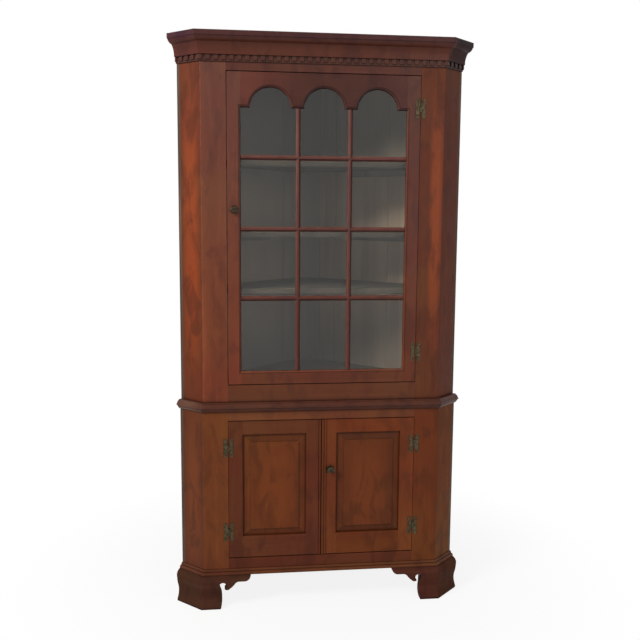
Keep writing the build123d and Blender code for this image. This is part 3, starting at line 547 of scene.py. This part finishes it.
# Changes of colour up a piece, most of them painted sheen and reflection
# Painted sheen: cooler and paler towards the top, warmer lower down.
cool_top = Fade("z", waist_z, top_z, first=(1.10, 0.83, 0.60), last=(0.88, 1.09, 1.36))
warm_foot = Fade("z", waist_z, top_z, first=(1.0, 0.84, 0.65), last=(1.14, 1.18, 1.28))
cool_muntins = Fade("z", 1.25, 1.62, first=(0.94, 1.0, 0.90), last=(1.12, 1.36, 1.44))
pale_top_rail = Fade("z", 0.30, 0.60, first=(1.0, 1.02, 1.08), last=(1.36, 1.36, 1.38))
# Painted reflection: a cool purple cast on the cornice's top fascia.
fascia_reflection = Fade(
    "z", top_z - 30.0 * mm, top_z - 16.0 * mm, first=unchanged, last=(0.72, 0.84, 1.50),
)

# The pieces' tones hold their own stain and also painted light and shade, paler or darker as each face
# catches the lamps.
boards = {
    "upper_stile_left": Board(body, "up", edge_wear_and_highlight=1.0, fades=(cool_top, left_corner_highlight)),
    "upper_stile_right": Board(
        shade(body, 0.74, 0.68, 0.57), "up", edge_wear_and_highlight=0.3, painted_lights=(right_painted_light,), shine=0.08,
    ),
    "upper_frieze_rail": Board(shade(dark_cherry, 0.95), "side", edge_wear_and_highlight=0.1),
    "upper_sill_rail": Board(shade(cherry, 0.90, 0.97, 0.94), "side", edge_wear_and_highlight=0.1),
    "upper_return_left": Board(
        shade(body, 0.82, 0.70, 0.54), "up", edge_wear_and_highlight=0.4, painted_lights=(left_painted_light,), fades=(warm_foot,), shine=0.08,
    ),
    "upper_return_right": Board(shade(body, 0.79, 0.63, 0.45), "up", edge_wear_and_highlight=0.2, shine=0.05),
    "cornice_front": Board(
        shade(dark_cherry, 0.90, 0.76, 0.62), "side", edge_wear_and_highlight=0.3, fades=(fascia_reflection,),
    ),
    "cornice_returns": Board(
        shade(dark_cherry, 1.10, 1.13, 1.26), "side", edge_wear_and_highlight=0.3,
        fades=(fascia_reflection, shaded_right_end), shine=0.05,
    ),
    "dentil_moulding": Board(
        shade(dark_cherry, 0.78, 0.83, 0.80), "side", edge_wear_and_highlight=0.2, fades=(shaded_right_end,), dirt_and_shade=0.55,
    ),
    "waist_moulding": Board(
        shade(dark_cherry, 0.88, 0.85, 0.64), "side", edge_wear_and_highlight=0.7, fades=(waist_left_sheen,),
    ),
    "lower_stile_left": Board(shade(cherry, 1.18, 1.36, 1.07), "up", edge_wear_and_highlight=0.5, shine=0.07),
    "lower_stile_right": Board(shade(cherry, 0.99, 1.0, 0.75), "up", edge_wear_and_highlight=0.3, shine=0.07),
    "lower_top_rail": Board(shade(cherry, 1.15, 1.36, 1.50), "side", edge_wear_and_highlight=0.1, shine=0.08),
    "lower_bottom_rail": Board(shade(cherry, 0.78, 0.72, 0.83), "side", edge_wear_and_highlight=0.1, shine=0.07),
    "lower_return_left": Board(
        shade(cherry, 0.87, 0.93, 0.81), "up", edge_wear_and_highlight=0.3, painted_lights=(lower_left_painted_light,), shine=0.07,
    ),
    "lower_return_right": Board(shade(body, 1.04, 0.99, 0.42), "up", edge_wear_and_highlight=0.2, shine=0.03),
    "base_moulding": Board(
        shade(cherry, 0.90, 1.04, 1.06), "side", edge_wear_and_highlight=0.5, fades=(base_left_sheen,), shine=0.08,
    ),
    "foot_left": Board(
        shade(old_foot, 1.20, 1.70, 1.66), "side", edge_wear_and_highlight=0.3, fades=(brown_foot_left,), shine=0.02, dull=0.3,
    ),
    "foot_right": Board(
        shade(old_foot, 1.37, 1.42, 1.68), "side", edge_wear_and_highlight=0.3, fades=(brown_foot_right,), shine=0.02, dull=0.3,
    ),
    "glazed_door_stiles": Board(
        shade(body, 0.80, 0.68, 0.69), "up", edge_wear_and_highlight=0.3, fades=(cool_top, left_to_right), side_lit=True,
    ),
    "glazed_door_arched_rail": Board(
        shade(dark_cherry, 0.86, 0.71, 0.70), "side", edge_wear_and_highlight=0.3,
        fades=(rail_left_to_right, rail_right_end), side_lit=True,
    ),
    "glazed_door_bottom_rail": Board(
        shade(body, 0.76, 0.62, 0.56), "side", edge_wear_and_highlight=0.3, shine=0.08, side_lit=True,
    ),
    "glazed_door_muntins": Board(
        shade(body, 0.60, 0.50, 0.68), "up", edge_wear_and_highlight=0.5, fades=(cool_muntins,), dirt_and_shade=0.3, side_lit=True,
    ),
    "left_door_stiles": Board(shade(cherry, 0.81, 0.84, 0.92), "up", edge_wear_and_highlight=0.3, shine=0.07, dirt_and_shade=0.6),
    "left_door_rails": Board(shade(cherry, 0.82, 0.90, 0.98), "side", edge_wear_and_highlight=0.3, shine=0.07, dirt_and_shade=0.6),
    "left_door_panel": Board(
        shade(cherry, 1.0, 1.06, 0.80), "up", edge_wear_and_highlight=0.4,
        painted_lights=(left_panel_painted_light,), shine=0.07, dirt_and_shade=0.6, darker_top_and_bottom_slopes=True,
    ),
    "right_door_stiles": Board(shade(cherry, 1.18, 1.15, 0.92), "up", edge_wear_and_highlight=0.3, shine=0.07, dirt_and_shade=0.6),
    "right_door_rails": Board(
        shade(cherry, 0.94, 0.85, 0.61), "side", edge_wear_and_highlight=0.3, fades=(pale_top_rail,), shine=0.07, dirt_and_shade=0.6,
    ),
    "right_door_panel": Board(
        shade(cherry, 0.91, 0.97, 0.80), "up", edge_wear_and_highlight=0.4,
        painted_lights=(right_panel_painted_light,), shine=0.07, dirt_and_shade=0.6, darker_top_and_bottom_slopes=True,
    ),
    "meeting_bead": Board(shade(cherry, 0.97, 1.03, 0.78), "up", edge_wear_and_highlight=0.4, shine=0.07),
}


def paint(node, material):
    """One material on all of a node."""
    materials = frame["nodes"][node].data.materials
    materials.clear()
    materials.append(material)


for seed, (node, board) in enumerate(boards.items(), start=1):
    paint(node, wood(f"{node}_wood", board, seed))


# Dry boards of the back and the inside
grey_paint = srgb(92, 92, 84)
dark_board = srgb(50, 36, 29)
middle_board = srgb(80, 60, 48)
pale_board = srgb(116, 92, 76)
painted_light_band_height = 1.36
painted_light_band_half_height = 0.48
board_relief = 1.0 * mm


def facing_inside(nodes):
    """1 on faces turned into the cupboard, 0 on its outside and on board edges."""
    x, _, _ = nodes.split(nodes.coordinates)
    normal = nodes.new("ShaderNodeNewGeometry").outputs["True Normal"]
    out, back, _ = nodes.split(normal)
    from_wall = nodes.math("LESS_THAN", nodes.math("MULTIPLY", out, nodes.math("SIGN", x)), -0.5)
    from_corner = nodes.math("LESS_THAN", back, -0.9)
    return nodes.math("MAXIMUM", from_wall, from_corner)


def painted_light_at_eye_height(nodes, tone):
    """A paint tone with a band of painted light about the middle shelves."""
    _, _, height = nodes.split(nodes.coordinates)
    stretch = swell(nodes, height, painted_light_band_height, painted_light_band_half_height)
    return nodes.mix(stretch, tone, shade(tone, 2.1, 2.0, 1.9))


def rough_board(name, direction, seed, tone, roughness, inside_only=False, painted_light_band=False):
    """Secondary wood: dry, streaked, unvarnished, with worn old paint on all or only the inside."""
    nodes = Surface(name)
    grain = grain_vector(nodes, unrolled(nodes), direction, seed)
    figure = nodes.noise(grain, scale=16.0, roughness=0.6, distortion=0.8)
    streaks = nodes.noise(grain, scale=90.0, detail=5.0, roughness=0.65)
    worn = nodes.noise(grain, scale=6.0, detail=5.0, roughness=0.6)
    colour = nodes.mix(nodes.ramp(figure, 0.34, 0.68), dark_board, middle_board)
    colour = nodes.mix(nodes.ramp(streaks, 0.45, 0.75, last=0.7), colour, pale_board)
    cover = nodes.ramp(worn, 0.3, 0.6, first=0.45, last=0.75)
    if inside_only:
        cover = nodes.math("MULTIPLY", cover, facing_inside(nodes))
    # Painted light about the middle shelves, on the upper boards
    if painted_light_band:
        tone = painted_light_at_eye_height(nodes, tone)
    nodes.set(
        Base_Color=nodes.mix(cover, colour, tone),
        Roughness=nodes.ramp(streaks, 0.3, 0.7, first=roughness - 0.08, last=roughness + 0.08),
        Specular_IOR_Level=0.3,
        Normal=nodes.bump(streaks, strength=0.35, distance=board_relief),
    )
    return nodes.material


# The right-hand boards are painted far paler than the left: painted light from the lamp on the left.
back_boards = {
    "upper_backboards_left": shade(grey_paint, 1.4, 1.05, 1.1),
    "upper_backboards_right": shade(grey_paint, 3.3, 2.3, 2.2),
    "upper_corner_board": shade(grey_paint, 1.4, 1.05, 1.1),
    "shelf_cleats": shade(grey_paint, 2.1, 1.7, 1.8),
    "lower_backboards_left": grey_paint,
    "lower_backboards_right": grey_paint,
    "lower_corner_board": grey_paint,
}
for seed, (node, tone) in enumerate(back_boards.items(), start=31):
    is_upper = node.startswith("upper")
    paint(node, rough_board(f"{node}_boards", "up", seed, tone, 0.78, inside_only=True, painted_light_band=is_upper))

level_boards = (
    "upper_top_board", "upper_bottom_board", "upper_shelf_high", "upper_shelf_middle", "upper_shelf_low",
    "lower_top_board", "lower_bottom_board", "lower_shelf", "rear_foot", "foot_blocks",
)
level_tone = shade(grey_paint, 0.70, 0.49, 0.42)
for seed, node in enumerate(level_boards, start=41):
    paint(node, rough_board(f"{node}_boards", "side", seed, level_tone, 0.72))


# Old window glass
glass_relief = 10.0 * mm


def window_glass():
    """Thin wavy glass that lets the light through to the shelves."""
    nodes = Surface("old_glass")
    waves = nodes.noise(nodes.coordinates, scale=9.0, detail=2.0, roughness=0.4, distortion=0.4)
    nodes.set(
        Base_Color=(0.90, 0.95, 0.92, 1.0),
        Roughness=0.02,
        IOR=1.38,
        Transmission_Weight=1.0,
        Normal=nodes.bump(waves, strength=0.06, distance=glass_relief),
    )
    clear = nodes.new("ShaderNodeBsdfTransparent")
    clear.inputs["Color"].default_value = (0.86, 0.90, 0.88, 1.0)
    nodes.show_instead(nodes.light_path("Is Shadow Ray", "Is Diffuse Ray"), clear.outputs[0])
    return nodes.material


paint("glass_panes", window_glass())


# Metals
metal_relief = 0.4 * mm


def metal(name, dark, light, roughness, metallic):
    """Dull old metal with patina in patches and dark specks."""
    nodes = Surface(name)
    patches = nodes.noise(nodes.coordinates, scale=160.0, detail=5.0, roughness=0.65)
    specks = nodes.noise(nodes.coordinates, scale=900.0, detail=3.0, roughness=0.6)
    colour = nodes.mix(nodes.ramp(patches, 0.38, 0.66), dark, light)
    nodes.set(
        Base_Color=nodes.mix(nodes.ramp(specks, 0.6, 0.72, last=0.5), colour, shade(dark, 0.3)),
        Roughness=nodes.ramp(patches, 0.3, 0.7, first=roughness + 0.12, last=roughness - 0.08),
        Metallic=metallic,
        Normal=nodes.bump(specks, strength=0.25, distance=metal_relief),
    )
    return nodes.material


brass = metal("aged_brass", srgb(54, 44, 30), srgb(86, 74, 52), roughness=0.50, metallic=0.8)
dark_brass = metal("dark_brass", srgb(38, 31, 23), srgb(74, 63, 46), roughness=0.44, metallic=0.85)
iron = metal("dark_iron", srgb(34, 31, 29), srgb(62, 58, 54), roughness=0.55, metallic=0.8)
for node in frame["nodes"]:
    if node.startswith("hinge_"):
        paint(node, brass)
for node in ("glazed_door_turn_knob", "right_door_turn_knob"):
    paint(node, dark_brass)
for node in ("left_door_bolt", "bolt_staples"):
    paint(node, iron)


# Meshes of the added pieces
def loose_boxes(node, gap):
    """The bounding boxes of a node's separate bodies, whose middles are over a gap apart in x or z."""
    boxes = []
    piece = frame["nodes"][node]
    for vertex in piece.data.vertices:
        point = piece.matrix_world @ vertex.co
        for low, high in boxes:
            middle = (low + high) / 2
            if abs(point.x - middle.x) < gap and abs(point.z - middle.z) < gap:
                low[:] = [min(pair) for pair in zip(low, point)]
                high[:] = [max(pair) for pair in zip(high, point)]
                break
        else:
            boxes.append((point.copy(), point.copy()))
    return boxes


class Solid:
    """Points and faces of one mesh, gathered from closed shells."""

    def __init__(self):
        self.points = []
        self.faces = []

    def stack(self, rings):
        """A closed shell through equal rings of points, capped at both ends."""
        base = len(self.points)
        count = len(rings[0])
        for ring in rings:
            self.points.extend(ring)
        for level in range(len(rings) - 1):
            for index in range(count):
                after = (index + 1) % count
                low = base + level * count
                high = low + count
                self.faces.append((low + index, low + after, high + after, high + index))
        last = base + (len(rings) - 1) * count
        self.faces.append(tuple(range(base + count - 1, base - 1, -1)))
        self.faces.append(tuple(range(last, last + count)))

    def piece(self, name, material):
        """The finished object."""
        mesh = bpy.data.meshes.new(name)
        mesh.from_pydata(self.points, [], self.faces)
        mesh.materials.append(material)
        return add_object(name, mesh)


# Screws with slotted domed heads in place of the plain ones
screw_gap = 6.0 * mm
slot_half_width = 0.5 * mm
slot_depth = 0.75 * mm
shank_top_depth = 1.1 * slot_depth
first_turn = 17.0
turn_step = 67.0

# Shares of the head's radius
head_depth_share = 0.36
base_share = 0.985
shank_share = 0.47

# Steps of the dome, as shares of the head's radius and of its depth
dome_steps = ((0.34, 0.0), (0.64, 0.10), (0.88, 0.34), (1.0, 0.72), (1.0, 1.0))


class Screw:
    """One screw in the box of the plain one: a shank, a flat base and two half domes beside the slot."""

    def __init__(self, low, high, turn):
        self.centre = (low + high) / 2
        self.front = low.y
        self.length = high.y - low.y
        self.radius = (high.x - low.x) / 2
        self.turn = turn

    def ring(self, reach, depth, count=16):
        """A circle at a depth behind the head's front."""
        angles = [radians(360.0 * index / count) for index in range(count)]
        x, z = self.centre.x, self.centre.z
        return [(x + reach * cos(angle), self.front + depth, z + reach * sin(angle)) for angle in angles]

    def half_ring(self, reach, depth, side, count=9):
        """The part of a circle on one side of the slot."""
        limit = acos(slot_half_width / reach)
        points = []
        for index in range(count):
            angle = side * limit * (2.0 * index / (count - 1) - 1.0)
            across = side * reach * cos(angle)
            length = reach * sin(angle)
            points.append((
                self.centre.x + across * cos(self.turn) - length * sin(self.turn),
                self.front + depth,
                self.centre.z + across * sin(self.turn) + length * cos(self.turn),
            ))
        return points

    def add_to(self, solid):
        """The screw's closed shells."""
        base = base_share * self.radius
        shank = shank_share * self.radius
        head_depth = head_depth_share * self.radius
        solid.stack([
            self.ring(shank, shank_top_depth),
            self.ring(shank, self.length - shank),
            self.ring(0.1 * shank, self.length),
        ])
        solid.stack([self.ring(base, slot_depth), self.ring(base, head_depth)])
        for side in (-1, 1):
            solid.stack([
                self.half_ring(reach * self.radius, depth * head_depth, side) for reach, depth in dome_steps
            ])


screw_bodies = {
    "hinge_screws_case": "cabinet",
    "hinge_screws_glazed_door": "glazed_door",
    "hinge_screws_left_door": "left_door",
    "hinge_screws_right_door": "right_door",
}
for node, rider in screw_bodies.items():
    solid = Solid()
    for index, (low, high) in enumerate(loose_boxes(node, screw_gap)):
        Screw(low, high, radians(first_turn + turn_step * index)).add_to(solid)
    screws = solid.piece(f"{node}_slotted", brass)
    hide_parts(node)
    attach(screws, rider)


# Putty that holds the panes from inside
pane_gap = 140.0 * mm
putty_reach = 5.5 * mm
putty_edge = 0.8 * mm
putty_rise = 7.5 * mm
putty_relief = 0.6 * mm


def putty_ring(solid, low, high):
    """A sloped ring round the back of one pane."""
    corners = (
        (low.x, low.z, 1, 1),
        (high.x, low.z, -1, 1),
        (high.x, high.z, -1, -1),
        (low.x, high.z, 1, -1),
    )
    base = len(solid.points)
    for x, z, inward_x, inward_z in corners:
        edge_x = x - inward_x * putty_edge
        edge_z = z - inward_z * putty_edge
        solid.points.append((edge_x, high.y, edge_z))
        solid.points.append((edge_x, high.y + putty_rise, edge_z))
        solid.points.append((x + inward_x * putty_reach, high.y, z + inward_z * putty_reach))
    for index in range(4):
        here = base + 3 * index
        after = base + 3 * ((index + 1) % 4)
        for first, second in ((0, 1), (1, 2), (2, 0)):
            solid.faces.append((here + first, after + first, after + second, here + second))


def putty_material():
    """Old crumbling putty."""
    nodes = Surface("old_putty")
    crumbs = nodes.noise(nodes.coordinates, scale=220.0, roughness=0.6)
    patches = nodes.noise(nodes.coordinates, scale=30.0, detail=3.0, roughness=0.6)
    colour = nodes.mix(nodes.ramp(patches, 0.35, 0.65), srgb(74, 66, 56), srgb(112, 102, 88))
    nodes.set(
        Base_Color=nodes.mix(nodes.ramp(crumbs, 0.5, 0.7), colour, srgb(50, 44, 38)),
        Roughness=nodes.ramp(crumbs, 0.3, 0.7, first=0.75, last=0.92),
        Normal=nodes.bump(crumbs, strength=0.4, distance=putty_relief),
    )
    return nodes.material


def glazing_putty():
    """The putty of all the panes, riding on the glazed door."""
    solid = Solid()
    for low, high in loose_boxes("glass_panes", pane_gap):
        putty_ring(solid, low, high)
    putty = solid.piece("glazing_putty", putty_material())
    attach(putty, "glazed_door")


glazing_putty()


# Stage: floor, light and background
floor_half = 12.0
floor_grey = (0.80, 0.80, 0.80, 1.0)
shadow_reach = 0.5
white_reach = 1.5
least_white = 0.86
world_strength = 0.45


def stage_material():
    """A pale floor that keeps the object's shadow and fades to white away from it."""
    nodes = Surface("pale_floor")
    nodes.set(Roughness=0.9, Base_Color=floor_grey, Specular_IOR_Level=0.1)
    bright = nodes.new("ShaderNodeEmission")
    bright.inputs["Color"].default_value = white
    bright.inputs["Strength"].default_value = 1.0
    away = nodes.ramp(nodes.length(nodes.coordinates), shadow_reach, white_reach, first=least_white)
    share = nodes.math("MULTIPLY", nodes.light_path(*background_rays), away)
    nodes.show_instead(share, bright.outputs[0])
    return nodes.material


def place_floor():
    """The floor that the object stands on."""
    mesh = bpy.data.meshes.new("floor")
    near, far = -floor_half, floor_half
    mesh.from_pydata([(near, near, 0), (far, near, 0), (far, far, 0), (near, far, 0)], [], [(0, 1, 2, 3)])
    mesh.materials.append(stage_material())
    floor = add_object("floor", mesh)


def place_lamp(name, place, target, size, power, colour):
    """A soft square area lamp turned to its target."""
    lamp = bpy.data.lights.new(name, "AREA")
    lamp.shape = "RECTANGLE"
    lamp.size = size
    lamp.size_y = size
    lamp.energy = power
    lamp.color = colour
    holder = add_object(name, lamp)
    holder.location = place
    holder.rotation_euler = (Vector(target) - Vector(place)).to_track_quat("-Z", "Y").to_euler()


def place_world():
    """Soft light from all around, seen as white behind the object."""
    world = bpy.data.worlds.new("studio")
    bpy.context.scene.world = world
    world.use_nodes = True
    nodes = Nodes(world.node_tree)
    output = nodes.new("ShaderNodeOutputWorld")
    skies = []
    for strength in (world_strength, 1.0):
        sky = nodes.new("ShaderNodeBackground")
        sky.inputs["Color"].default_value = white
        sky.inputs["Strength"].default_value = strength
        skies.append(sky.outputs[0])
    nodes.link(nodes.mix_shaders(nodes.light_path(*background_rays), *skies), output.inputs[0])


place_floor()
place_lamp("key", (-3.6, -3.2, 4.2), target=(0, 0, 1.1), size=1.5, power=250.0, colour=(1.0, 0.96, 0.9))
place_lamp("fill", (2.6, -4.4, 1.8), target=(0, 0, 1.0), size=2.4, power=50.0, colour=(1.0, 1.0, 1.0))
place_world()
bpy.context.scene.view_settings.view_transform = "Standard"
